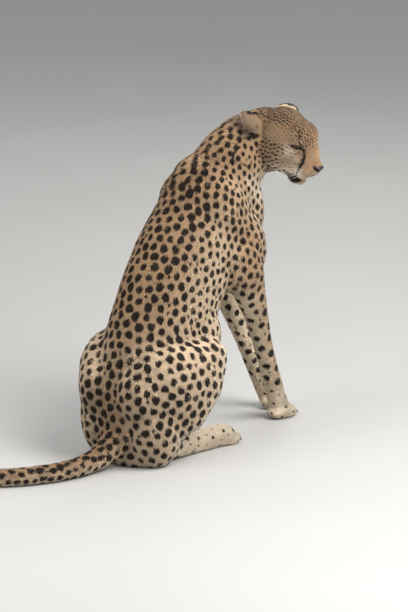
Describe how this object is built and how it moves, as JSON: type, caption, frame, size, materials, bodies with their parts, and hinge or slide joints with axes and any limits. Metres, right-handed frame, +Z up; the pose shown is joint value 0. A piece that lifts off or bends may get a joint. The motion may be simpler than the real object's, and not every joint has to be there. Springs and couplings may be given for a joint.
{
  "type": "cheetah",
  "caption": "Life-size sitting cheetah looking over its right shoulder, forelegs straight, haunches on the floor and long tail laid behind.",
  "frame": {"origin": "on the floor under the middle of the seat, where the rump rests", "axes": "+Z up, -Y the way the chest faces, +X the animal's left"},
  "size_m": [0.5922, 1.2151, 0.848],
  "materials": {
    "coat": "short fur, spotted",
    "pale_coat": "short fur, pale",
    "eye": "gloss",
    "nose": "moist, fine grained"
  },
  "bodies": {
    "root": {"head": "coat", "neck": "coat", "trunk": "coat", "tail_root": "coat", "tail_middle": "coat", "tail_tip": "coat", "forepaw_right": "coat", "forepaw_left": "coat", "forearm_right": "coat", "forearm_left": "coat", "upper_arm_right": "coat", "upper_arm_left": "coat", "thigh_right": "coat", "thigh_left": "coat", "ear_right": "coat", "ear_left": "coat", "hind_foot_right": "pale_coat", "hind_foot_left": "pale_coat", "lower_jaw": "pale_coat", "eye_right": "eye", "eye_left": "eye", "nose": "nose"}
  },
  "joints": []
}
